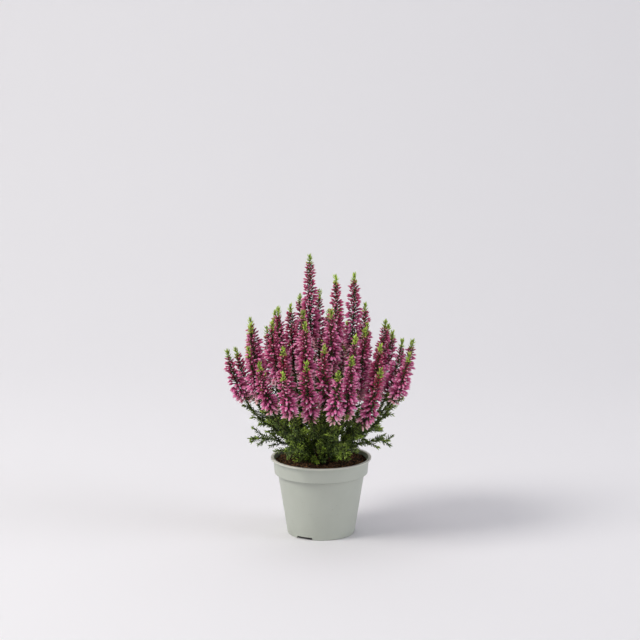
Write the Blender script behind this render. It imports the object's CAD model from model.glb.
"""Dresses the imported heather: its moulded pot, the crumbly peat, leafy stems and racemes of buds.

Every shoot follows a streamline of the plant: it keeps its share of the crown's radius and its turn about
the pot's axis at every height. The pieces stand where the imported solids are, and replace them.
"""

from __future__ import annotations

import logging
import math
import random
from collections.abc import Sequence
from dataclasses import dataclass, field
from enum import Enum
from functools import partial

import bmesh
import bpy
from bmesh.types import BMesh
from bpy.types import ID, Material, Mesh, Node, NodeSocket, NodeTree, Object
from mathutils import Matrix, Vector

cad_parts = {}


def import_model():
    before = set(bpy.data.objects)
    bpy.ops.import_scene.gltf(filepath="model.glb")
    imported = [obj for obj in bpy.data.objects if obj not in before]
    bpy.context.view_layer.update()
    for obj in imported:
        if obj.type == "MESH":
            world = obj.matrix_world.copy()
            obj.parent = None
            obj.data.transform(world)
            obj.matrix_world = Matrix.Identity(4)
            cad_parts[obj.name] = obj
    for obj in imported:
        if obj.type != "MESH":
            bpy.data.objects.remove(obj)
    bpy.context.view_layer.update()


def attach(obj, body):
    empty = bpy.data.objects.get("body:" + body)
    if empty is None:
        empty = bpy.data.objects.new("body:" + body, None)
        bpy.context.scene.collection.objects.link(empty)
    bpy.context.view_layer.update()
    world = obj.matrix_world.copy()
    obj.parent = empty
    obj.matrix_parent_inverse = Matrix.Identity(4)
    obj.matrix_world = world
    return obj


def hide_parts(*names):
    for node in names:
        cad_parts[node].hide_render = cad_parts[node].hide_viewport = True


MM = 0.001
GOLDEN = math.radians(137.508)
BODY = "root"
LOG = logging.getLogger("heather")

Rgba = tuple[float, float, float, float]
Span = tuple[float, float]
Inputs = dict[int | str, object]
Source = Node | NodeSocket


class Slot(Enum):
    """The record's material slots."""

    POT = "pot_plastic"
    PEAT = "peat"
    BUDS = "flower_buds"
    FOLIAGE = "foliage"


def linear(hex_colour: str) -> Rgba:
    """Turns an sRGB hex colour to the linear values that a shader takes.

    Args:
        hex_colour: Six hex digits after a hash sign.

    Returns:
        Red, green, blue and an alpha of 1.
    """
    channels = []
    for start in (1, 3, 5):
        value = int(hex_colour[start:start + 2], 16) / 255
        channels.append(value / 12.92 if value <= 0.04045 else ((value + 0.055) / 1.055) ** 2.4)
    return (*channels, 1.0)


def feed(tree: NodeTree, node: Node, inputs: Inputs) -> None:
    """Sets a node's inputs.

    Args:
        tree: The shader or geometry tree.
        node: Its node.
        inputs: For each input, by its name or number, its value, or the socket that feeds it, or the node
            whose first output in use feeds it.
    """
    for key, value in inputs.items():
        if isinstance(value, Node):
            value = next(socket for socket in value.outputs if socket.enabled)
        if isinstance(value, NodeSocket):
            tree.links.new(value, node.inputs[key])
        else:
            node.inputs[key].default_value = value


def add(tree: NodeTree, kind: str, inputs: Inputs | None = None, **settings: object) -> Node:
    """Adds a node to a tree.

    Args:
        tree: The shader or geometry tree.
        kind: The node's type.
        inputs: Its inputs, as feed takes them.
        **settings: The node's own properties.

    Returns:
        The new node.
    """
    node = tree.nodes.new(kind)
    for name, value in settings.items():
        setattr(node, name, value)
    feed(tree, node, inputs or {})
    return node


def new_material(name: str) -> tuple[Material, NodeTree, Node]:
    """Makes an empty material.

    Args:
        name: The real material's name.

    Returns:
        The material, its tree and its Principled shader.
    """
    made = bpy.data.materials.new(name)
    made.use_nodes = True
    return made, made.node_tree, made.node_tree.nodes["Principled BSDF"]


@dataclass(frozen=True)
class MouldedPolypropylene:
    """Injection-moulded polypropylene, matt: a broad soft gloss with a faint spark-eroded grain.

    The thin lip lets light through and looks paler; grime stays in the corner under the band. The grain of
    the real mould is near 0.1 mm and is drawn coarser, so that it shows at all.
    """

    colour: str = "#BABFB4"
    pale: str = "#C4C9BE"
    lip: str = "#E2E0D6"
    dust: str = "#8B8577"
    grime: str = "#565852"
    lip_height: float = 83.4 * MM
    lip_fade: float = 1.4 * MM
    corner_height: float = 67.8 * MM
    corner_reach: float = 1.3 * MM
    cloud: float = 26.0 * MM
    speck: float = 3.2 * MM
    speck_span: Span = (0.63, 0.74)
    speck_most: float = 0.35
    grain: float = 0.9 * MM
    grain_depth: float = 0.15 * MM
    grain_strength: float = 0.12
    roughness: float = 0.5
    ior: float = 1.49

    def material(self) -> Material:
        """Makes the pot's material.

        Returns:
            The material, on Object coordinates.
        """
        made, tree, shader = new_material("moulded_polypropylene")
        place = add(tree, "ShaderNodeTexCoord").outputs["Object"]
        cloud = add(tree, "ShaderNodeTexNoise", {"Vector": place, "Scale": 1 / self.cloud, "Detail": 3.0})
        specks = add(tree, "ShaderNodeTexNoise", {
            "Vector": place, "Scale": 1 / self.speck, "Detail": 4.0, "Roughness": 0.7})
        sparse = add(tree, "ShaderNodeMapRange", {
            "Value": specks, "From Min": self.speck_span[0], "From Max": self.speck_span[1],
            "To Max": self.speck_most})
        height = add(tree, "ShaderNodeSeparateXYZ", {0: place}).outputs["Z"]
        rising = add(tree, "ShaderNodeMapRange", {
            "Value": height, "From Min": self.corner_height - self.corner_reach,
            "From Max": self.corner_height})
        under = add(tree, "ShaderNodeMath", {
            0: height, 1: self.corner_height + 0.1 * MM}, operation="LESS_THAN")
        corner = add(tree, "ShaderNodeMath", {0: rising, 1: under}, operation="MULTIPLY")
        thin = add(tree, "ShaderNodeMapRange", {
            "Value": height, "From Min": self.lip_height, "From Max": self.lip_height + self.lip_fade})
        layers = ((cloud, self.pale), (sparse, self.dust), (corner, self.grime), (thin, self.lip))
        colour = linear(self.colour)
        for cover, upper in layers:
            colour = add(tree, "ShaderNodeMix", {0: cover, 6: colour, 7: linear(upper)}, data_type="RGBA")
        grain = add(tree, "ShaderNodeTexNoise", {"Vector": place, "Scale": 1 / self.grain, "Detail": 2.0})
        bump = add(tree, "ShaderNodeBump", {
            "Height": grain, "Strength": self.grain_strength, "Distance": self.grain_depth})
        feed(tree, shader, {
            "Base Color": colour, "Roughness": self.roughness, "IOR": self.ior, "Normal": bump})
        return made


@dataclass(frozen=True)
class BlackPeat:
    """Milled peat: crumbs of dark red-brown that drink the light, with paler dry ones and fibres."""

    wet: str = "#150D09"
    dry: str = "#8C6546"
    crumb: float = 1.8 * MM
    crumb_depth: float = 0.8 * MM
    crumb_strength: float = 0.7
    dry_span: Span = (0.1, 0.6)
    roughness: float = 0.95
    specular: float = 0.25

    def material(self) -> Material:
        """Makes the peat's material.

        Returns:
            The material, on Object coordinates and each crumb's "tint".
        """
        made, tree, shader = new_material("black_peat")
        place = add(tree, "ShaderNodeTexCoord").outputs["Object"]
        noise = add(tree, "ShaderNodeTexNoise", {
            "Vector": place, "Scale": 1 / self.crumb, "Detail": 5.0, "Roughness": 0.7})
        tint = add(tree, "ShaderNodeAttribute", attribute_name="tint").outputs["Fac"]
        dryness = add(tree, "ShaderNodeMath", {0: noise, 1: tint}, operation="MULTIPLY")
        spread = add(tree, "ShaderNodeMapRange", {
            "Value": dryness, "From Min": self.dry_span[0], "From Max": self.dry_span[1]})
        colour = add(tree, "ShaderNodeMix", {
            0: spread, 6: linear(self.wet), 7: linear(self.dry)}, data_type="RGBA")
        bump = add(tree, "ShaderNodeBump", {
            "Height": noise, "Strength": self.crumb_strength, "Distance": self.crumb_depth})
        feed(tree, shader, {
            "Base Color": colour, "Roughness": self.roughness, "Specular IOR Level": self.specular,
            "Normal": bump})
        return made


@dataclass(frozen=True)
class HeatherSepal:
    """Papery heather sepals: faintly glossy, darkest at the foot where they overlap, bleached at the points.

    Young buds high on a spike are crimson, old ones at its foot fade, and a bud's own "tint" sets how far.
    """

    deep: str = "#921853"
    bright: str = "#FF8ECB"
    crimson: str = "#BE2450"
    point: str = "#FDEAF0"
    faded: str = "#FFD8D0"
    shade: str = "#3A0F25"
    bright_from: float = 0.2
    crimson_from: float = 0.25
    crimson_most: Span = (0.1, 0.75)
    fading_age: float = 0.24
    fading_most: float = 0.95
    point_from: float = 0.6
    point_most: float = 0.95
    bleached_tint: Span = (0.4, 0.9)
    bleached: Span = (0.08, 1.0)
    foot: float = 0.38
    foot_most: float = 0.8
    vein: float = 0.7 * MM
    vein_depth: float = 0.2 * MM
    vein_strength: float = 0.25
    roughness: float = 0.36
    specular: float = 0.3

    def material(self) -> Material:
        """Makes the buds' material.

        Returns:
            The material, on each bud's "along", "tint" and "age" and its spike's "warm".
        """
        made, tree, shader = new_material("heather_sepal")
        warm, along, tint, age = (
            add(tree, "ShaderNodeAttribute", attribute_name=name).outputs["Fac"]
            for name in ("warm", "along", "tint", "age"))
        split = add(tree, "ShaderNodeMapRange", {"Value": tint, "From Min": self.bright_from})
        high = add(tree, "ShaderNodeMapRange", {
            "Value": age, "From Min": self.crimson_from,
            "To Min": self.crimson_most[0], "To Max": self.crimson_most[1]})
        ruddy = add(tree, "ShaderNodeMath", {0: high, 1: warm}, operation="MULTIPLY")
        low = add(tree, "ShaderNodeMapRange", {
            "Value": age, "From Max": self.fading_age, "To Min": self.fading_most, "To Max": 0.0})
        fading = add(tree, "ShaderNodeMath", {0: low, 1: tint}, operation="MULTIPLY")
        tip = add(tree, "ShaderNodeMapRange", {
            "Value": along, "From Min": self.point_from, "To Max": self.point_most},
            interpolation_type="SMOOTHSTEP")
        bleached = add(tree, "ShaderNodeMapRange", {
            "Value": tint, "From Min": self.bleached_tint[0], "From Max": self.bleached_tint[1],
            "To Min": self.bleached[0], "To Max": self.bleached[1]})
        paler = add(tree, "ShaderNodeMath", {0: tip, 1: bleached}, operation="MULTIPLY")
        foot = add(tree, "ShaderNodeMapRange", {
            "Value": along, "From Max": self.foot, "To Min": self.foot_most, "To Max": 0.0})
        layers = (
            (split, self.bright), (ruddy, self.crimson), (fading, self.faded), (paler, self.point),
            (foot, self.shade))
        colour = linear(self.deep)
        for cover, upper in layers:
            colour = add(tree, "ShaderNodeMix", {0: cover, 6: colour, 7: linear(upper)}, data_type="RGBA")
        place = add(tree, "ShaderNodeTexCoord").outputs["Object"]
        veins = add(tree, "ShaderNodeTexNoise", {"Vector": place, "Scale": 1 / self.vein, "Detail": 2.0})
        bump = add(tree, "ShaderNodeBump", {
            "Height": veins, "Strength": self.vein_strength, "Distance": self.vein_depth})
        feed(tree, shader, {
            "Base Color": colour, "Roughness": self.roughness, "Specular IOR Level": self.specular,
            "Normal": bump})
        return made


@dataclass(frozen=True)
class HeatherLeaf:
    """Scale leaves with a waxy bloom: dark and dull when old, yellow-green at the growing points."""

    old: str = "#1E3316"
    young: str = "#ACC84C"
    tint_value: Span = (0.5, 1.6)
    along_value: Span = (0.8, 1.25)
    roughness: float = 0.5

    def material(self) -> Material:
        """Makes the leaves' material.

        Returns:
            The material, on each leaf's "fresh", "tint" and "along".
        """
        made, tree, shader = new_material("heather_leaf")
        fresh, tint, along = (
            add(tree, "ShaderNodeAttribute", attribute_name=name).outputs["Fac"]
            for name in ("fresh", "tint", "along"))
        value = add(tree, "ShaderNodeMapRange", {
            "Value": tint, "To Min": self.tint_value[0], "To Max": self.tint_value[1]})
        lighter = add(tree, "ShaderNodeMapRange", {
            "Value": along, "To Min": self.along_value[0], "To Max": self.along_value[1]})
        total = add(tree, "ShaderNodeMath", {0: value, 1: lighter}, operation="MULTIPLY")
        colour = add(tree, "ShaderNodeMix", {
            0: fresh, 6: linear(self.old), 7: linear(self.young)}, data_type="RGBA")
        shaded = add(tree, "ShaderNodeHueSaturation", {"Color": colour, "Value": total})
        feed(tree, shader, {"Base Color": shaded, "Roughness": self.roughness})
        return made


@dataclass(frozen=True)
class HeatherWood:
    """Thin heather wood: brown bark with fine long cracks, green where it is young."""

    bark: str = "#3A2A1C"
    young: str = "#34411F"
    crack: float = 0.8 * MM
    crack_depth: float = 0.3 * MM
    crack_strength: float = 0.5
    roughness: float = 0.8

    def material(self) -> Material:
        """Makes the stems' material.

        Returns:
            The material, on the stem's "fresh".
        """
        made, tree, shader = new_material("heather_wood")
        fresh = add(tree, "ShaderNodeAttribute", attribute_name="fresh").outputs["Fac"]
        colour = add(tree, "ShaderNodeMix", {
            0: fresh, 6: linear(self.bark), 7: linear(self.young)}, data_type="RGBA")
        place = add(tree, "ShaderNodeTexCoord").outputs["Object"]
        cracks = add(tree, "ShaderNodeTexNoise", {"Vector": place, "Scale": 1 / self.crack, "Detail": 3.0})
        bump = add(tree, "ShaderNodeBump", {
            "Height": cracks, "Strength": self.crack_strength, "Distance": self.crack_depth})
        feed(tree, shader, {"Base Color": colour, "Roughness": self.roughness, "Normal": bump})
        return made


@dataclass
class Finishes:
    """The materials of the whole plant, made once."""

    pot: Material = field(default_factory=MouldedPolypropylene().material)
    peat: Material = field(default_factory=BlackPeat().material)
    sepal: Material = field(default_factory=HeatherSepal().material)
    leaf: Material = field(default_factory=HeatherLeaf().material)
    wood: Material = field(default_factory=HeatherWood().material)


def link(name: str, data: ID) -> Object:
    """Puts a mesh, a light or a camera in the scene.

    Args:
        name: The object's name.
        data: What it is, a mesh being in world coordinates.

    Returns:
        The new object, at the origin.
    """
    obj = bpy.data.objects.new(name, data)
    bpy.context.scene.collection.objects.link(obj)
    return obj


def settled(name: str, shape: BMesh) -> Object:
    """Puts a finished shape in the scene and frees it.

    Args:
        name: The piece's name.
        shape: Its shape, in world coordinates.

    Returns:
        The new object, at the origin.
    """
    mesh = bpy.data.meshes.new(name)
    shape.to_mesh(mesh)
    shape.free()
    return link(name, mesh)


def polar(radius: float, turn: float, height: float = 0.0) -> Vector:
    """The point at this radius, turn and height about the pot's axis."""
    return Vector((radius * math.cos(turn), radius * math.sin(turn), height))


def even_shares(length: float, step: float) -> list[float]:
    """The shares from 0 to 1 that part a length into steps, of which there are three at the least."""
    pieces = max(round(length / step), 3)
    return [k / pieces for k in range(pieces + 1)]


def plain(obj: Object) -> None:
    """Turns an object's modifiers into its mesh.

    Args:
        obj: An object whose modifiers are set; it ends with a plain mesh and no modifiers.
    """
    bpy.context.view_layer.update()
    graph = bpy.context.evaluated_depsgraph_get()
    mesh = bpy.data.meshes.new_from_object(obj.evaluated_get(graph))
    obj.modifiers.clear()
    spent = obj.data
    obj.data = mesh
    bpy.data.meshes.remove(spent)


def new_tree(
    name: str, numbers: Sequence[str], counts: Sequence[str] = (),
) -> tuple[NodeTree, dict[str, NodeSocket]]:
    """Makes an empty geometry tree.

    Args:
        name: The tree's name.
        numbers: The titles of its inputs that are numbers.
        counts: The titles of its inputs that are whole numbers.

    Returns:
        The tree and its inputs' sockets, by title.
    """
    tree = bpy.data.node_groups.new(name, "GeometryNodeTree")
    tree.interface.new_socket("Geometry", in_out="INPUT", socket_type="NodeSocketGeometry")
    for title in numbers:
        tree.interface.new_socket(title, in_out="INPUT", socket_type="NodeSocketFloat")
    for title in counts:
        tree.interface.new_socket(title, in_out="INPUT", socket_type="NodeSocketInt")
    tree.interface.new_socket("Geometry", in_out="OUTPUT", socket_type="NodeSocketGeometry")
    return tree, dict(tree.nodes.new("NodeGroupInput").outputs.items())


def run_tree(obj: Object, tree: NodeTree, values: dict[str, float]) -> None:
    """Runs a geometry tree on an object and keeps the result as its plain mesh.

    Args:
        obj: The object.
        tree: The tree.
        values: The tree's inputs, by title.
    """
    modifier = obj.modifiers.new("Growth", "NODES")
    modifier.node_group = tree
    for item in tree.interface.items_tree:
        if item.item_type == "SOCKET" and item.in_out == "INPUT" and item.name in values:
            modifier[item.identifier] = values[item.name]
    plain(obj)


def dress(obj: Object, slot: Slot, *nodes: str) -> None:
    """Registers a finished piece with the frame.

    Args:
        obj: The piece.
        slot: The record's slot that it takes its finish from.
        *nodes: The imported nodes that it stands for.
    """
    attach(obj, BODY)
    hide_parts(*nodes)
    obj.data.calc_loop_triangles()
    LOG.info("%s: %d triangles", obj.name, len(obj.data.loop_triangles))


def lofted(name: str, rings: Sequence[Sequence[Vector]], along: Sequence[float]) -> Object:
    """Makes a small closed form through rings of points.

    Args:
        name: The form's name.
        rings: Rings of the same number of points, from the root to the tip; an end may be one point.
        along: For each ring, how far along the form it lies, from 0 to 1.

    Returns:
        The form, with the attribute "along".
    """
    shape = bmesh.new()
    layer = shape.verts.layers.float.new("along")
    made = []
    for ring, share in zip(rings, along):
        loop = [shape.verts.new(point) for point in ring]
        for vertex in loop:
            vertex[layer] = share
        made.append(loop)
    count = len(made[1])
    for low, high in zip(made, made[1:]):
        for k in range(count):
            onward = (k + 1) % count
            if len(high) == 1:
                shape.faces.new((low[k], low[onward], high[0]))
            elif len(low) == 1:
                shape.faces.new((low[0], high[onward], high[k]))
            else:
                shape.faces.new((low[k], low[onward], high[onward], high[k]))
    if len(made[0]) > 1:
        shape.faces.new(reversed(made[0]))
    if len(made[-1]) > 1:
        shape.faces.new(made[-1])
    form = settled(name, shape)
    form.data.shade_smooth()
    return form


@dataclass
class Bud:
    """A closed bud: four sepals that overlap into a lobed drop, on a short stalk, along +Z."""

    stalk: float = 4.6 * MM
    length: float = 6.6 * MM
    radius: float = 1.5 * MM
    sepals: int = 4
    furrow: float = 0.24
    outline: tuple[Span, ...] = ((0.0, 0.3), (0.36, 1.0), (0.74, 0.66), (1.0, 0.0))

    def build(self) -> Object:
        """Makes the bud.

        Returns:
            The pattern that the racemes repeat.
        """
        count = 2 * self.sepals
        rings = [[Vector((0, 0, 0))]]
        along = [0.0]
        for share, width in self.outline:
            ring = []
            for k in range(count if width else 1):
                lobe = 1 - self.furrow * (k % 2) * min(4 * share, 1)
                turn = math.tau * k / count
                ring.append(polar(self.radius * width * lobe, turn, self.stalk + share * self.length))
            rings.append(ring)
            along.append(share)
        return lofted("bud_pattern", rings, along)


@dataclass
class Leaf:
    """A scale leaf: a narrow blade with a keel on its back that bows out and then in, along +Z."""

    length: float = 3.8 * MM
    width: float = 0.7 * MM
    thick: float = 0.5 * MM
    belly: float = -0.3
    bow: float = 0.45 * MM
    outline: tuple[tuple[float, float, float], ...] = ((0.0, 0.6, 0.0), (0.5, 1.0, 1.0), (1.0, 0.0, -0.1))

    def build(self) -> Object:
        """Makes the leaf.

        Returns:
            The pattern that the shoots repeat.
        """
        rings = []
        for share, size, bow in self.outline:
            middle = Vector((bow * self.bow, 0, share * self.length))
            flat = self.belly * self.thick * size
            ring = [
                Vector((self.thick * size, 0, 0)), Vector((flat, self.width * size, 0)),
                Vector((flat, -self.width * size, 0)),
            ]
            rings.append([middle + point for point in ring] if size else [middle])
        return lofted("leaf_pattern", rings, [share for share, _, _ in self.outline])


@dataclass
class Crown:
    """The fan of streamlines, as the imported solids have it."""

    soil_top: float = 78.5 * MM
    stand_radius: float = 20.0 * MM
    spread: float = 98.0 * MM
    bend: float = 62.0 * MM
    bend_power: float = 1.2
    collar: float = 4.0 * MM
    spikes: int = 46
    first_turn: float = math.radians(180)
    top: float = 180.0 * MM
    drop: float = 60.0 * MM
    leaders: dict[int, float] = field(default_factory=lambda: {0: 52.0 * MM, 1: 34.0 * MM, 4: 36.0 * MM})
    tip_scatter: float = 14.0 * MM
    length: float = 88.0 * MM
    shorter: float = 28.0 * MM
    leader_longer: float = 0.4
    length_scatter: float = 6.0 * MM
    inner_stems: int = 3
    inner_share: float = 0.27
    outer_stems: int = 7
    outer_share: float = 0.72
    fork: float = 15.0 * MM
    blend: float = 45.0 * MM
    stem_depth: float = 22.0 * MM
    seed: int = 11

    def radius(self, height: float) -> float:
        """The whole fan's radius at this height above the peat."""
        rise = max(height - self.collar, 0) / self.bend
        return self.stand_radius + self.spread * (1 - math.exp(-rise**self.bend_power))

    def point(self, share: float, turn: float, height: float) -> Vector:
        """A streamline's point at this height above the peat."""
        return polar(share * self.radius(height), turn, self.soil_top + height)

    def spike_plan(self) -> list[tuple[float, float, float, float]]:
        """Lays out the flower spikes.

        Returns:
            Each spike's share, turn, foot height and tip height, above the peat.
        """
        draw = random.Random(self.seed)
        plan = []
        for i in range(self.spikes):
            share = math.sqrt((i + 0.5) / self.spikes)
            extra = self.leaders.get(i, 0)
            scatter = 0 if extra else draw.uniform(-self.tip_scatter, self.tip_scatter)
            top = self.top - self.drop * share**2 + extra + scatter
            length = self.length - self.shorter * share + self.leader_longer * extra
            length += draw.uniform(-self.length_scatter, self.length_scatter)
            plan.append((share, self.first_turn + i * GOLDEN, top - length, top))
        return plan

    def stem_plan(self) -> list[tuple[float, float]]:
        """Lays out the woody stems.

        Returns:
            Each stem's share and turn, the inner ring first.
        """
        inner = [(self.inner_share, i * math.tau / self.inner_stems) for i in range(self.inner_stems)]
        step = math.tau / self.outer_stems
        return inner + [(self.outer_share, (i + 0.5) * step) for i in range(self.outer_stems)]

    def nearest_stem(self, spike: Sequence[float], stems: Sequence[Sequence[float]]) -> int:
        """The index of the stem that carries this spike."""
        place = polar(*spike[:2])
        return min(range(len(stems)), key=lambda k: (polar(*stems[k]) - place).length)

    def branch_point(self, stem: Sequence[float], spike: Sequence[float], height: float) -> Vector:
        """Finds a point of the branch from a stem's fork to a spike.

        Args:
            stem: The stem's share and turn.
            spike: The spike's share, turn, foot and tip.
            height: The point's height above the peat.

        Returns:
            The point, in metres.
        """
        reach = min(spike[2] - self.fork, self.blend)
        t = min(max((height - self.fork) / reach, 0), 1)
        return self.point(*stem, height).lerp(self.point(*spike[:2], height), t * t * (3 - 2 * t))


@dataclass
class Shoot:
    """One shoot's path: its radius, freshness and leafiness at each point, and its flowers' warmth."""

    points: list[Vector]
    radii: list[float]
    fresh: list[float]
    leafy: list[float]
    warm: float = 0.0


def path_mesh(name: str, shoots: Sequence[Shoot]) -> Mesh:
    """Makes a mesh of edge chains, one for each shoot, for a node tree to grow on.

    Args:
        name: The mesh's name.
        shoots: The shoots.

    Returns:
        The mesh, with the attributes "thick", "fresh", "leafy", "warm" and "age", 0 at a shoot's foot.
    """
    mesh = bpy.data.meshes.new(name)
    points = [point for shoot in shoots for point in shoot.points]
    edges = []
    age = []
    for shoot in shoots:
        start = len(age)
        count = len(shoot.points)
        edges.extend((start + k, start + k + 1) for k in range(count - 1))
        age.extend(k / (count - 1) for k in range(count))
    mesh.from_pydata(points, edges, [])
    values = {
        "thick": [value for shoot in shoots for value in shoot.radii],
        "fresh": [value for shoot in shoots for value in shoot.fresh],
        "leafy": [value for shoot in shoots for value in shoot.leafy],
        "warm": [shoot.warm for shoot in shoots for _ in shoot.points],
        "age": age,
    }
    for key, numbers in values.items():
        mesh.attributes.new(key, "FLOAT", "POINT").data.foreach_set("value", numbers)
    return mesh


@dataclass
class GrowthTree:
    """A node tree that grows wood, leaves and buds on edge chains.

    Leaves and buds stand on a golden-angle spiral about each chain, and lean out less towards its tip.
    Leaves stand where "leafy" is a half or more. Buds, with small scale leaves between them, stand where
    it is less, in a tree that has a bud.
    """

    name: str
    finishes: Finishes
    leaf: Object
    bud: Object | None = None
    leaf_spread: Span = (0.75, 1.2)
    bud_spread: Span = (0.55, 1.2)
    swollen_age: float = 0.2
    taper_age: float = 0.45
    lean_age: float = 0.3
    jitter: float = 0.9
    sway: float = 0.42
    stem_sides: int = 5

    def __post_init__(self) -> None:
        """Starts the tree, whose inputs are sizes in metres and angles in radians."""
        self.tree, self.given = new_tree(self.name, (
            "Leaf step", "Leaf lean low", "Leaf lean high", "Leaf size", "Scale leaf step",
            "Bud step", "Bud lean low", "Bud lean high", "Low bud size", "Top bud size"), ("Seed",))
        self.add = partial(add, self.tree)
        self.curve = self.add("GeometryNodeMeshToCurve", {0: self.given["Geometry"]})
        self.thick, self.leafy, self.age = (
            self.add("GeometryNodeInputNamedAttribute", {"Name": name}, data_type="FLOAT")
            for name in ("thick", "leafy", "age"))

    def build(self) -> NodeTree:
        """Grows everything.

        Returns:
            The finished tree.
        """
        joined = self.add("GeometryNodeJoinGeometry")
        leaf = (self.leaf, self.finishes.leaf, self.scatter(self.given["Leaf size"], self.leaf_spread))
        parts = [self.wood(), self.ranks(*leaf, True, "Leaf step", "Leaf lean low", "Leaf lean high")]
        if self.bud:
            bud = (self.bud, self.finishes.sepal, self.bud_size())
            parts.append(self.ranks(*leaf, False, "Scale leaf step", "Leaf lean low", "Leaf lean low"))
            parts.append(self.ranks(*bud, False, "Bud step", "Bud lean low", "Bud lean high"))
        for part in parts:
            feed(self.tree, joined, {0: part})
        self.add("NodeGroupOutput", {0: joined})
        return self.tree

    def bud_size(self) -> Node:
        """Sizes the buds: smaller at a spike's foot and towards its tip.

        Returns:
            The node that gives the varied size.
        """
        taper = self.add("ShaderNodeMapRange", {
            "Value": self.age, "From Min": self.taper_age,
            "To Min": 1.0, "To Max": self.given["Top bud size"]})
        swell = self.add("ShaderNodeMapRange", {
            "Value": self.age, "From Max": self.swollen_age, "To Min": self.given["Low bud size"]})
        both = self.add("ShaderNodeMath", {0: taper, 1: swell}, operation="MULTIPLY")
        return self.scatter(both, self.bud_spread)

    def wood(self) -> Node:
        """Grows the round stems.

        Returns:
            The node that gives the stems' mesh.
        """
        ring = self.add("GeometryNodeCurvePrimitiveCircle", {"Resolution": self.stem_sides, "Radius": 1.0})
        tube = self.add("GeometryNodeCurveToMesh", {
            "Curve": self.curve, "Profile Curve": ring, "Scale": self.thick, "Fill Caps": True})
        return self.add("GeometryNodeSetMaterial", {0: tube, "Material": self.finishes.wood})

    def scatter(self, size: Source, spread: Span) -> Node:
        """Varies a size from one outgrowth to the next.

        Args:
            size: The nominal size.
            spread: The least and the greatest share of it.

        Returns:
            The node that gives the varied size.
        """
        share = self.add("FunctionNodeRandomValue", {
            2: spread[0], 3: spread[1], "Seed": self.given["Seed"]}, data_type="FLOAT")
        return self.add("ShaderNodeMath", {0: size, 1: share}, operation="MULTIPLY")

    def ranks(self, pattern: Object, finish: Material, scale: Source, leafy: bool, *titles: str) -> Node:
        """Repeats a pattern on a golden-angle spiral about the chains.

        Args:
            pattern: The leaf or bud, along +Z.
            finish: Its material.
            scale: Its scale.
            leafy: True where the pattern stands on leafy stretches, False on flowering ones.
            *titles: The inputs for its step along the chain, its lean at the foot and its lean at the tip.

        Returns:
            The node that gives the realized mesh.
        """
        step, lean_low, lean_high = (self.given[title] for title in titles)
        seed = self.given["Seed"]
        spots = self.add("GeometryNodeCurveToPoints", {"Curve": self.curve, "Length": step}, mode="LENGTH")
        upright = self.add("FunctionNodeAlignRotationToVector", {
            "Vector": spots.outputs["Tangent"]}, axis="Z")
        kept = self.add("GeometryNodeStoreNamedAttribute", {
            "Geometry": spots, "Name": "facing", "Value": upright}, data_type="QUATERNION", domain="POINT")
        bare = self.add("FunctionNodeCompare", {
            0: self.leafy, 1: 0.5}, data_type="FLOAT", operation="LESS_THAN" if leafy else "GREATER_EQUAL")
        grown = self.add("GeometryNodeDeleteGeometry", {0: kept, 1: bare}, domain="POINT")
        facing = self.add("GeometryNodeInputNamedAttribute", {"Name": "facing"}, data_type="QUATERNION")
        index = self.add("GeometryNodeInputIndex")
        jitter = self.add("FunctionNodeRandomValue", {
            2: -self.jitter, 3: self.jitter, "Seed": seed}, data_type="FLOAT")
        turn = self.add("ShaderNodeMath", {0: index, 1: GOLDEN, 2: jitter}, operation="MULTIPLY_ADD")
        lean = self.add("ShaderNodeMapRange", {
            "Value": self.age, "From Min": self.lean_age, "To Min": lean_low, "To Max": lean_high})
        sway = self.add("FunctionNodeRandomValue", {
            2: -self.sway, 3: self.sway, "Seed": seed, "ID": index}, data_type="FLOAT")
        tilt = self.add("ShaderNodeMath", {0: lean, 1: sway}, operation="ADD")
        rotation = facing
        for axis, angle in (((0.0, 0.0, 1.0), turn), ((0.0, 1.0, 0.0), tilt)):
            further = self.add("FunctionNodeAxisAngleToRotation", {"Axis": axis, "Angle": angle})
            rotation = self.add("FunctionNodeRotateRotation", {
                0: rotation, 1: further}, rotation_space="LOCAL")
        shape = self.add("GeometryNodeObjectInfo", {"Object": pattern})
        copies = self.add("GeometryNodeInstanceOnPoints", {
            "Points": grown, "Instance": shape.outputs["Geometry"], "Rotation": rotation, "Scale": scale})
        shade = self.add("FunctionNodeRandomValue", {2: 0.0, 3: 1.0, "Seed": seed}, data_type="FLOAT")
        tinted = self.add("GeometryNodeStoreNamedAttribute", {
            "Geometry": copies, "Name": "tint", "Value": shade}, data_type="FLOAT", domain="INSTANCE")
        real = self.add("GeometryNodeRealizeInstances", {0: tinted})
        return self.add("GeometryNodeSetMaterial", {0: real, "Material": finish})


def grow(name: str, shoots: Sequence[Shoot], tree: NodeTree, values: dict[str, float]) -> Object:
    """Grows shoots with a node tree and keeps the result as a plain mesh.

    Args:
        name: The piece's name.
        shoots: Its shoots.
        tree: The tree that grows on them.
        values: The tree's inputs, by title.

    Returns:
        The piece.
    """
    obj = link(name, path_mesh(name, shoots))
    run_tree(obj, tree, values)
    obj.data.shade_smooth()
    return obj


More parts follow.
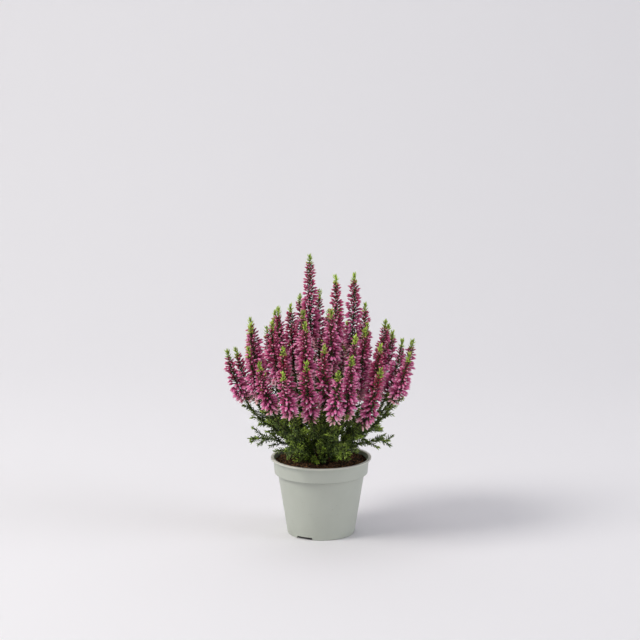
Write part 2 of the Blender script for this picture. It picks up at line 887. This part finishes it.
@dataclass
class Racemes:
    """The flower spikes: closed buds on stalks all round a green axis, with a leafy growing tip."""

    crown: Crown
    finishes: Finishes
    leaf: Object
    bud: Object
    growing_tip: float = 12.0 * MM
    leaf_reach: float = 3.2 * MM
    step: float = 2.0 * MM
    axis_radius: float = 0.8 * MM
    axis_taper: float = 0.7
    axis_tip: float = 0.35 * MM
    axis_fresh: float = 0.12
    tip_fresh: Span = (0.6, 1.0)
    warmth: Span = (0.3, 1.2)
    bud_step_mm: Span = (0.255, 0.312)
    bud_lean: Span = (1.35, 1.8)
    top_bud: Span = (0.4, 0.6)
    gap: float = 0.4 * MM
    wobble: float = 1.6 * MM

    def shoots(self, spike: Sequence[float], draw: random.Random) -> list[Shoot]:
        """Lays out one spike's axis.

        Args:
            spike: The spike's share, turn, foot and tip.
            draw: The spike's own random draw.

        Returns:
            Its flowering stretch, which wobbles a little sideways, and its growing tip.
        """
        share, turn, foot, tip = spike
        low = foot + self.gap
        high = tip - self.growing_tip
        middle = self.axis_radius * self.axis_taper
        fresh = draw.uniform(*self.tip_fresh)
        flowering = self.stretch(share, turn, low, high, (self.axis_radius, middle), self.axis_fresh, 0)
        flowering.warm = draw.uniform(*self.warmth)
        aside = Vector((-math.sin(turn), math.cos(turn), 0)) * self.wobble * draw.uniform(-1, 1)
        last = len(flowering.points) - 1
        flowering.points = [
            point + aside * math.sin(math.tau * k / last) for k, point in enumerate(flowering.points)]
        leafy = self.stretch(share, turn, high, tip - self.leaf_reach, (middle, self.axis_tip), fresh, 1)
        return [flowering, leafy]

    def stretch(
        self, share: float, turn: float, low: float, high: float,
        radii: Span, fresh: float, leafy: float,
    ) -> Shoot:
        """Lays out a stretch of a streamline.

        Args:
            share: The streamline's share of the crown's radius.
            turn: Its turn about the pot.
            low: The stretch's lower end, above the peat.
            high: Its upper end.
            radii: The axis's radius at both ends.
            fresh: How young it is, from 0 to 1.
            leafy: 1 where it bears leaves, 0 where it bears buds.

        Returns:
            The stretch.
        """
        shares = even_shares(high - low, self.step)
        return Shoot(
            [self.crown.point(share, turn, low + (high - low) * t) for t in shares],
            [radii[0] + (radii[1] - radii[0]) * t for t in shares],
            [fresh] * len(shares), [leafy] * len(shares))

    def build(self) -> None:
        """Makes every raceme and registers it."""
        tree = GrowthTree("raceme_growth", self.finishes, self.leaf, self.bud).build()
        for number, spike in enumerate(self.crown.spike_plan(), start=1):
            draw = random.Random(number)
            piece = grow(f"raceme_{number:02d}", self.shoots(spike, draw), tree, {
                "Leaf step": 0.3 * MM, "Leaf lean low": 1.0, "Leaf lean high": 0.3, "Leaf size": 1.15,
                "Scale leaf step": 0.45 * MM, "Bud step": draw.uniform(*self.bud_step_mm) * MM,
                "Bud lean low": draw.uniform(*self.bud_lean), "Bud lean high": 0.85,
                "Low bud size": 0.75, "Top bud size": draw.uniform(*self.top_bud), "Seed": number,
            })
            dress(piece, Slot.BUDS, f"flower_spike_{number:02d}")


@dataclass(frozen=True)
class Sprout:
    """A low leafy sprout without flowers.

    Its tip stands at a turn aside from its stem's, a reach from the pot's axis and a height over the peat.
    It starts at a share of its stem's fork height, and its middle has a lift.
    """

    aside: float
    reach: float
    height: float
    lift: float
    fork: float


@dataclass
class LeafyStems:
    """The woody stems with their branches, leafy twigs, low sprouts and basal shoots."""

    crown: Crown
    finishes: Finishes
    leaf: Object
    stem_radius: float = 1.6 * MM
    branch_radius: float = 0.85 * MM
    twig_radius: float = 0.4 * MM
    step: float = 3.0 * MM
    branch_overlap: float = 2.0 * MM
    branch_bare: float = 0.06
    twig_every: float = 4.6 * MM
    twig_length: float = 12.0 * MM
    twig_lift: float = 0.5 * MM
    twig_growth: Span = (0.6, 1.5)
    twig_fresh: Span = (0.2, 0.9)
    sprouts: tuple[Sprout, ...] = (
        Sprout(0.16, 76 * MM, 30 * MM, 6 * MM, 0.6), Sprout(-0.3, 37 * MM, 22 * MM, -3 * MM, 0.35))
    sprout_fresh: float = 0.7
    front: float = math.radians(-90)
    bare_front: float = math.radians(20)
    basal_shoots: int = 11
    basal_foot: float = 2.0 * MM
    basal_fan: float = 0.9
    basal_mm: Span = (6, 24)
    basal_fresh: Span = (0.9, 1.5)
    first_seed: int = 100

    def trunk(self, stem: Sequence[float]) -> Shoot:
        """Lays out the bare woody foot of a stem.

        Args:
            stem: The stem's share and turn.

        Returns:
            The shoot, from inside the peat up to the fork.
        """
        heights = [-self.crown.stem_depth, 0.0, self.crown.collar, 0.6 * self.crown.fork, self.crown.fork]
        return Shoot(
            [self.crown.point(*stem, height) for height in heights],
            [self.stem_radius] * 3 + [self.stem_radius * 0.9, self.stem_radius * 0.8], [0.0] * 5, [0.0] * 5)

    def branch(self, stem: Sequence[float], spike: Sequence[float]) -> Shoot:
        """Lays out a branch from the fork to a spike's foot.

        Args:
            stem: The stem's share and turn.
            spike: The spike's share, turn, foot and tip.

        Returns:
            The branch, leafy except for its root.
        """
        low = self.crown.fork - self.branch_overlap
        shares = even_shares(spike[2] - low, self.step)
        points = [self.crown.branch_point(stem, spike, low + (spike[2] - low) * t) for t in shares]
        return Shoot(points, [self.branch_radius] * len(points), [0.1 + 0.3 * t for t in shares],
                     [0.0 if t < self.branch_bare else 1.0 for t in shares])

    def bowed(self, start: Vector, end: Vector, lift: float, radius: float, fresh: float) -> Shoot:
        """Lays out a short leafy shoot.

        Args:
            start: Its foot.
            end: Its tip.
            lift: How far its middle bows upwards.
            radius: Its radius at the foot.
            fresh: How young its tip is; over 1, it is young far down.

        Returns:
            The shoot.
        """
        shares = even_shares((end - start).length, self.step)
        points = [start.lerp(end, t) + Vector((0, 0, lift * math.sin(math.pi * t))) for t in shares]
        return Shoot(points, [radius * (1 - 0.5 * t) for t in shares],
                     [fresh * (0.15 + 0.85 * t * t) for t in shares], [1.0] * len(points))

    def twigs(self, host: Shoot, draw: random.Random) -> list[Shoot]:
        """Lays out the twigs of a branch or sprout.

        Args:
            host: The shoot that bears them.
            draw: The random draw.

        Returns:
            The twigs, each up and away from its host.
        """
        made = []
        walked = 0.0
        turn = draw.uniform(0, math.tau)
        for low, high in zip(host.points, host.points[1:]):
            walked += (high - low).length
            if walked < self.twig_every:
                continue
            walked = 0.0
            turn += GOLDEN
            axis = (high - low).normalized()
            side = axis.orthogonal().normalized()
            side.rotate(Matrix.Rotation(turn, 3, axis))
            length = self.twig_length * draw.uniform(*self.twig_growth)
            end = high + (axis * 0.8 + side * 0.6).normalized() * length
            fresh = draw.uniform(*self.twig_fresh)
            made.append(self.bowed(high, end, self.twig_lift, self.twig_radius, fresh))
        return made

    def basal(self, stem: Sequence[float], draw: random.Random) -> list[Shoot]:
        """Lays out the young shoots at a stem's foot; the stem nearest the front bears none.

        Args:
            stem: The stem's share and turn.
            draw: The random draw.

        Returns:
            Short bright shoots just over the peat.
        """
        made = []
        if math.cos(stem[1] - self.front) > math.cos(self.bare_front):
            return made
        foot = self.crown.point(*stem, self.basal_foot)
        for _ in range(self.basal_shoots):
            aim = stem[1] + draw.uniform(-self.basal_fan, self.basal_fan)
            reach = draw.uniform(*self.basal_mm) * MM
            end = foot + polar(reach, aim, draw.uniform(*self.basal_mm) * MM)
            fresh = draw.uniform(*self.basal_fresh)
            made.append(self.bowed(foot, end, self.basal_foot, self.twig_radius, fresh))
        return made

    def build(self) -> None:
        """Makes every leafy stem and registers it."""
        tree = GrowthTree("leafy_growth", self.finishes, self.leaf).build()
        spikes = self.crown.spike_plan()
        stems = self.crown.stem_plan()
        for k, stem in enumerate(stems):
            draw = random.Random(self.first_seed + k)
            carried = [spike for spike in spikes if self.crown.nearest_stem(spike, stems) == k]
            hosts = [self.branch(stem, spike) for spike in carried]
            outer = stem[0] == self.crown.outer_share
            if outer:
                for sprout in self.sprouts:
                    end = polar(sprout.reach, stem[1] + sprout.aside, self.crown.soil_top + sprout.height)
                    start = self.crown.point(*stem, sprout.fork * self.crown.fork)
                    hosts.append(
                        self.bowed(start, end, sprout.lift, self.branch_radius, self.sprout_fresh))
            shoots = [self.trunk(stem)] + hosts
            for host in hosts:
                shoots.extend(self.twigs(host, draw))
            if outer:
                shoots.extend(self.basal(stem, draw))
            piece = grow(f"stem_{k + 1:02d}", shoots, tree, {
                "Leaf step": 0.49 * MM, "Leaf lean low": 1.05, "Leaf lean high": 0.45, "Leaf size": 1.05,
                "Seed": self.first_seed + k,
            })
            dress(piece, Slot.FOLIAGE, f"leafy_stem_{k + 1:02d}")


@dataclass
class Pot:
    """The moulded pot: lip, band, shoulder, tapered body and drain notches."""

    finishes: Finishes
    rim_radius: float = 55.0 * MM
    height: float = 85.0 * MM
    foot_radius: float = 36.6 * MM
    shoulder_radius: float = 46.6 * MM
    shoulder_low: float = 62.8 * MM
    shoulder_high: float = 67.8 * MM
    band_low_radius: float = 50.9 * MM
    band_high_radius: float = 52.7 * MM
    ledge_radius: float = 47.5 * MM
    lip: float = 1.7 * MM
    wall: float = 1.2 * MM
    floor: float = 1.6 * MM
    sides: int = 160
    arc_steps: int = 5
    merge: float = 0.005 * MM
    sharp: float = math.radians(40)
    notches: int = 3
    notch_width: float = 19.0 * MM
    notch_height: float = 2.9 * MM
    notch_depth: float = 9.0 * MM
    notch_rounding: float = 0.5 * MM
    notch_turn: float = math.radians(-120)

    def corners(self) -> list[tuple[float, float, float]]:
        """Lays out the wall's section.

        Returns:
            Its corners as (radius, height, rounding), from the inner floor to the foot.
        """
        top = self.height
        lip_low = top - self.lip
        return [
            (0.0, self.floor, 0.0),
            (self.foot_radius - self.wall, self.floor, 1.0 * MM),
            (self.shoulder_radius - self.wall, self.shoulder_low, 1.6 * MM),
            (self.ledge_radius - self.wall, self.shoulder_high + self.wall, 0.8 * MM),
            (self.band_low_radius - self.wall, self.shoulder_high + self.wall, 0.8 * MM),
            (self.band_high_radius - self.wall, top, 0.6 * MM),
            (self.rim_radius, top, 0.5 * MM),
            (self.rim_radius, lip_low, 0.4 * MM),
            (self.band_high_radius - 0.5 * MM, lip_low, 0.3 * MM),
            (self.band_low_radius, self.shoulder_high, 0.35 * MM),
            (self.ledge_radius, self.shoulder_high, 0.4 * MM),
            (self.shoulder_radius, self.shoulder_low, 1.6 * MM),
            (self.foot_radius, 0.0, 1.0 * MM),
            (0.0, 0.0, 0.0),
        ]

    def section(self) -> list[Vector]:
        """Rounds the section's corners.

        Returns:
            The section's points in the XZ plane.
        """
        corners = [(Vector((radius, 0, height)), rounding) for radius, height, rounding in self.corners()]
        points = [corners[0][0]]
        for (before, _), (corner, rounding), (after, _) in zip(corners, corners[1:], corners[2:]):
            back = (before - corner).normalized()
            ahead = (after - corner).normalized()
            start = corner + back * rounding
            end = corner + ahead * rounding
            for k in range(self.arc_steps + 1):
                t = k / self.arc_steps
                points.append(start.lerp(corner, t).lerp(corner.lerp(end, t), t))
        points.append(corners[-1][0])
        return points

    def turned(self) -> Object:
        """Turns the section about the pot's axis.

        Returns:
            The closed shell.
        """
        mesh = bpy.data.meshes.new("pot")
        points = self.section()
        mesh.from_pydata(points, [(k, k + 1) for k in range(len(points) - 1)], [])
        shell = link("moulded_pot", mesh)
        screw = shell.modifiers.new("Screw", "SCREW")
        screw.steps = self.sides
        screw.render_steps = self.sides
        screw.use_merge_vertices = True
        screw.merge_threshold = self.merge
        plain(shell)
        shape = bmesh.new()
        shape.from_mesh(shell.data)
        bmesh.ops.remove_doubles(shape, verts=shape.verts, dist=self.merge)
        bmesh.ops.recalc_face_normals(shape, faces=shape.faces)
        shape.to_mesh(shell.data)
        shape.free()
        return shell

    def notch_cutters(self) -> Object:
        """Makes the rounded blocks that cut the drain notches.

        Returns:
            One object of all the blocks.
        """
        shape = bmesh.new()
        for k in range(self.notches):
            block = bmesh.ops.create_cube(shape, size=1)["verts"]
            size = (2 * self.notch_depth, self.notch_width, 2 * self.notch_height)
            bmesh.ops.scale(shape, vec=size, verts=block)
            bmesh.ops.translate(shape, vec=(self.foot_radius, 0, 0), verts=block)
            turn = Matrix.Rotation(self.notch_turn + k * math.tau / self.notches, 3, "Z")
            bmesh.ops.rotate(shape, cent=(0, 0, 0), matrix=turn, verts=block)
        upper = [edge for edge in shape.edges if min(vertex.co.z for vertex in edge.verts) > 0]
        bmesh.ops.bevel(
            shape, geom=upper, offset=self.notch_rounding, segments=3, affect="EDGES", profile=0.5)
        return settled("notch_cutters", shape)

    def build(self) -> None:
        """Makes the pot and registers it."""
        shell = self.turned()
        cutters = self.notch_cutters()
        cut = shell.modifiers.new("Notches", "BOOLEAN")
        cut.operation = "DIFFERENCE"
        cut.object = cutters
        cut.solver = "EXACT"
        plain(shell)
        bpy.data.objects.remove(cutters)
        shell.data.materials.clear()
        shell.data.materials.append(self.finishes.pot)
        shell.data.shade_smooth()
        shell.data.set_sharp_from_angle(angle=self.sharp)
        dress(shell, Slot.POT, "pot")


@dataclass
class Peat:
    """The peat: a plug whose top is uneven, strewn with crumbs and fibres."""

    finishes: Finishes
    pot: Pot
    top: float = 78.5 * MM
    gap: float = 0.3 * MM
    relief: float = 0.8 * MM
    heaped: float = 1.8 * MM
    sides: int = 120
    rings: int = 46
    plug_tint: float = 0.35
    size_spread: Span = (0.3, 1.35)
    tint_spread: Span = (0.1, 1.3)
    bare_edge: float = 1.6 * MM
    crumbs: float = 0.3e6
    crumb: float = 0.85 * MM
    crumb_seed: int = 5
    fibres: float = 0.03e6
    fibre_length: float = 7.0 * MM
    fibre_bend: float = 1.1 * MM
    fibre_rise: float = 0.5 * MM
    fibre_radius: float = 0.22 * MM

    def height(self, x: float, y: float) -> float:
        """Finds the top's height over its mean level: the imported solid's waves, finer ones and a heap.

        Args:
            x: The place along X.
            y: The place along Y.

        Returns:
            The height, in metres.
        """
        coarse = math.sin(230 * x + 1.1) * math.cos(190 * y - 0.4)
        fine = math.sin(610 * x - 430 * y + 2.0) * math.cos(540 * y + 310 * x)
        finest = math.sin(2900 * x + 900 * y) * math.sin(2600 * y - 1300 * x + 1.0)
        return self.heaped + self.relief * (coarse + 0.7 * fine + 0.25 * finest)

    def plug(self) -> Object:
        """Makes the plug.

        Returns:
            The closed plug, with the attribute "tint" and the face attribute "crumbly" on its top.
        """
        pot = self.pot
        inner = pot.wall + self.gap
        edge = pot.band_low_radius - inner + 0.6 * MM
        section = [(edge * k / self.rings, self.top) for k in range(1, self.rings + 1)] + [
            (pot.band_low_radius - inner, pot.shoulder_high + pot.wall + 2 * self.gap),
            (pot.ledge_radius - inner - self.gap, pot.shoulder_high + pot.wall + self.gap),
            (pot.shoulder_radius - inner, pot.shoulder_low + self.gap),
            (pot.foot_radius - inner - 0.2 * MM, pot.floor + self.gap),
        ]
        shape = bmesh.new()
        centre = shape.verts.new((0, 0, self.top))
        turns = [math.tau * k / self.sides for k in range(self.sides)]
        loops = [
            [shape.verts.new(polar(radius, turn, height)) for turn in turns] for radius, height in section]
        for k in range(self.sides):
            shape.faces.new((centre, loops[0][k], loops[0][(k + 1) % self.sides]))
        for near, far in zip(loops, loops[1:]):
            for k in range(self.sides):
                onward = (k + 1) % self.sides
                shape.faces.new((near[k], far[k], far[onward], near[onward]))
        shape.faces.new(reversed(loops[-1]))
        for vertex in shape.verts:
            if vertex.co.z > self.top - 0.1 * MM:
                vertex.co.z += self.height(vertex.co.x, vertex.co.y)
        plug = settled("peat", shape)
        tints = [self.plug_tint] * len(plug.data.vertices)
        plug.data.attributes.new("tint", "FLOAT", "POINT").data.foreach_set("value", tints)
        inside = edge - self.bare_edge
        crumbly = [
            float(Vector(face.center[:2]).length < inside and face.center.z > self.top - 2 * MM)
            for face in plug.data.polygons]
        plug.data.attributes.new("crumbly", "FLOAT", "FACE").data.foreach_set("value", crumbly)
        return plug

    def crumb_pattern(self) -> Object:
        """Makes one angular crumb.

        Returns:
            The pattern that the tree strews.
        """
        shape = bmesh.new()
        bmesh.ops.create_icosphere(shape, subdivisions=1, radius=self.crumb)
        draw = random.Random(self.crumb_seed)
        for vertex in shape.verts:
            vertex.co *= draw.uniform(0.65, 1.2)
        return settled("crumb_pattern", shape)

    def fibre_pattern(self) -> Object:
        """Makes one bent fibre, lying along X.

        Returns:
            The pattern that the tree strews.
        """
        rings = []
        shares = [0.0, 0.3, 0.65, 1.0]
        for t in shares:
            middle = Vector((
                (t - 0.5) * self.fibre_length, self.fibre_bend * math.sin(3.0 * t),
                self.fibre_rise * math.sin(math.pi * t)))
            around = [Vector((0, math.cos(a), math.sin(a))) for a in (0, math.tau / 3, 2 * math.tau / 3)]
            rings.append([middle + point * self.fibre_radius for point in around])
        return lofted("fibre_pattern", rings, shares)

    def tree(self, crumb: Object, fibre: Object) -> NodeTree:
        """Makes the tree that strews crumbs and fibres over the plug's top.

        Args:
            crumb: The crumb.
            fibre: The fibre.

        Returns:
            The tree.
        """
        tree, given = new_tree("strewn_peat", ("Crumbs per m2", "Fibres per m2"))
        joined = tree.nodes.new("GeometryNodeJoinGeometry")
        feed(tree, joined, {0: given["Geometry"]})
        where = add(tree, "GeometryNodeInputNamedAttribute", {"Name": "crumbly"}, data_type="FLOAT")
        strewn = ((crumb, "Crumbs per m2", 3.1, 3), (fibre, "Fibres per m2", 0.25, 8))
        for pattern, density, roll, seed in strewn:
            spots = add(tree, "GeometryNodeDistributePointsOnFaces", {
                "Mesh": given["Geometry"], "Selection": where, "Density": given[density], "Seed": seed})
            angles = add(tree, "FunctionNodeRandomValue", {
                0: (-roll, -roll, -math.pi), 1: (roll, roll, math.pi), "Seed": seed},
                data_type="FLOAT_VECTOR")
            size = add(tree, "FunctionNodeRandomValue", {
                2: self.size_spread[0], 3: self.size_spread[1], "Seed": seed + 1}, data_type="FLOAT")
            shape = add(tree, "GeometryNodeObjectInfo", {"Object": pattern})
            copies = add(tree, "GeometryNodeInstanceOnPoints", {
                "Points": spots, "Instance": shape.outputs["Geometry"], "Rotation": angles, "Scale": size})
            shade = add(tree, "FunctionNodeRandomValue", {
                2: self.tint_spread[0], 3: self.tint_spread[1], "Seed": seed + 2}, data_type="FLOAT")
            tinted = add(tree, "GeometryNodeStoreNamedAttribute", {
                "Geometry": copies, "Name": "tint", "Value": shade}, data_type="FLOAT", domain="INSTANCE")
            feed(tree, joined, {0: tinted})
        real = add(tree, "GeometryNodeRealizeInstances", {0: joined})
        coat = add(tree, "GeometryNodeSetMaterial", {0: real, "Material": self.finishes.peat})
        add(tree, "NodeGroupOutput", {0: coat})
        return tree

    def build(self) -> None:
        """Makes the peat and registers it."""
        plug = self.plug()
        crumb = self.crumb_pattern()
        fibre = self.fibre_pattern()
        run_tree(plug, self.tree(crumb, fibre), {"Crumbs per m2": self.crumbs, "Fibres per m2": self.fibres})
        for pattern in (crumb, fibre):
            bpy.data.objects.remove(pattern)
        dress(plug, Slot.PEAT, "soil")


@dataclass(frozen=True)
class SoftBox:
    """A square soft light that faces the plant."""

    name: str
    place: tuple[float, float, float]
    width: float
    watts: float
    colour: str
    aim: tuple[float, float, float] = (0.0, 0.0, 0.15)

    def hang(self) -> None:
        """Hangs the light."""
        light = bpy.data.lights.new(self.name, "AREA")
        light.size = self.width
        light.energy = self.watts
        light.color = linear(self.colour)[:3]
        obj = link(self.name, light)
        obj.location = self.place
        obj.rotation_euler = (Vector(self.aim) - Vector(self.place)).to_track_quat("-Z", "Y").to_euler()


@dataclass
class Studio:
    """A pale seamless sweep under soft light from the upper left, and the photograph's camera."""

    distance: float = 2.5422
    camera_height: float = 0.7484
    aside: float = -0.0012
    pitch_down: float = math.radians(11.37)
    focal_mm: float = 134.93
    sensor_mm: float = 36.0
    sweep_width: float = 12.0
    sweep_front: float = -5.0
    sweep_back: float = 2.2
    sweep_radius: float = 1.4
    sweep_steps: int = 16
    wall_top: float = 5.0
    paper: str = "#F2F1F4"
    paper_roughness: float = 0.9
    room: str = "#F6F6FA"
    room_strength: float = 0.32
    lights: tuple[SoftBox, ...] = (
        SoftBox("key", (-2.1, -0.9, 2.3), 1.3, 57, "#FFFCF7"),
        SoftBox("fill", (2.6, -0.8, 1.3), 1.5, 21, "#F6F7FF"),
        SoftBox("top", (-0.3, 0.3, 2.8), 1.6, 11, "#FFFFFF"),
    )

    def camera(self) -> None:
        """Sets the camera at the photograph's place."""
        lens = bpy.data.cameras.new("camera")
        lens.lens = self.focal_mm
        lens.sensor_width = self.sensor_mm
        lens.clip_end = 50
        camera = link("camera", lens)
        camera.location = (self.aside, -self.distance, self.camera_height)
        camera.rotation_euler = (math.radians(90) - self.pitch_down, 0, 0)
        bpy.context.scene.camera = camera

    def paper_material(self) -> Material:
        """Makes the backdrop's matt paper.

        Returns:
            The material.
        """
        made, tree, shader = new_material("backdrop_paper")
        feed(tree, shader, {"Base Color": linear(self.paper), "Roughness": self.paper_roughness})
        return made

    def sweep(self) -> None:
        """Makes the floor that curves up into the backdrop."""
        start = self.sweep_back - self.sweep_radius
        turns = [k / self.sweep_steps * math.pi / 2 for k in range(1, self.sweep_steps + 1)]
        bend = [
            (start + self.sweep_radius * math.sin(turn), self.sweep_radius * (1 - math.cos(turn)))
            for turn in turns]
        section = [(self.sweep_front, 0.0), (start, 0.0), *bend, (self.sweep_back, self.wall_top)]
        shape = bmesh.new()
        half = self.sweep_width / 2
        left = [shape.verts.new((-half, y, z)) for y, z in section]
        right = [shape.verts.new((half, y, z)) for y, z in section]
        for k in range(len(section) - 1):
            shape.faces.new((left[k], right[k], right[k + 1], left[k + 1]))
        paper = settled("sweep", shape)
        paper.data.shade_smooth()
        paper.data.materials.append(self.paper_material())

    def build(self) -> None:
        """Sets the camera, the sweep, the lights and the room's own light."""
        self.camera()
        self.sweep()
        for light in self.lights:
            light.hang()
        world = bpy.data.worlds.new("studio")
        world.use_nodes = True
        feed(world.node_tree, world.node_tree.nodes["Background"], {
            "Color": linear(self.room), "Strength": self.room_strength})
        bpy.context.scene.world = world
        bpy.context.scene.view_settings.view_transform = "Standard"


def main() -> None:
    """Builds the potted heather's looks."""
    logging.basicConfig(level=logging.INFO, format="%(message)s")
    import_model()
    Studio().build()
    finishes = Finishes()
    crown = Crown()
    pot = Pot(finishes)
    pot.build()
    Peat(finishes, pot).build()
    leaf = Leaf().build()
    bud = Bud().build()
    Racemes(crown, finishes, leaf, bud).build()
    LeafyStems(crown, finishes, leaf).build()
    for pattern in (leaf, bud):
        bpy.data.objects.remove(pattern)


if __name__ == "__main__":
    main()
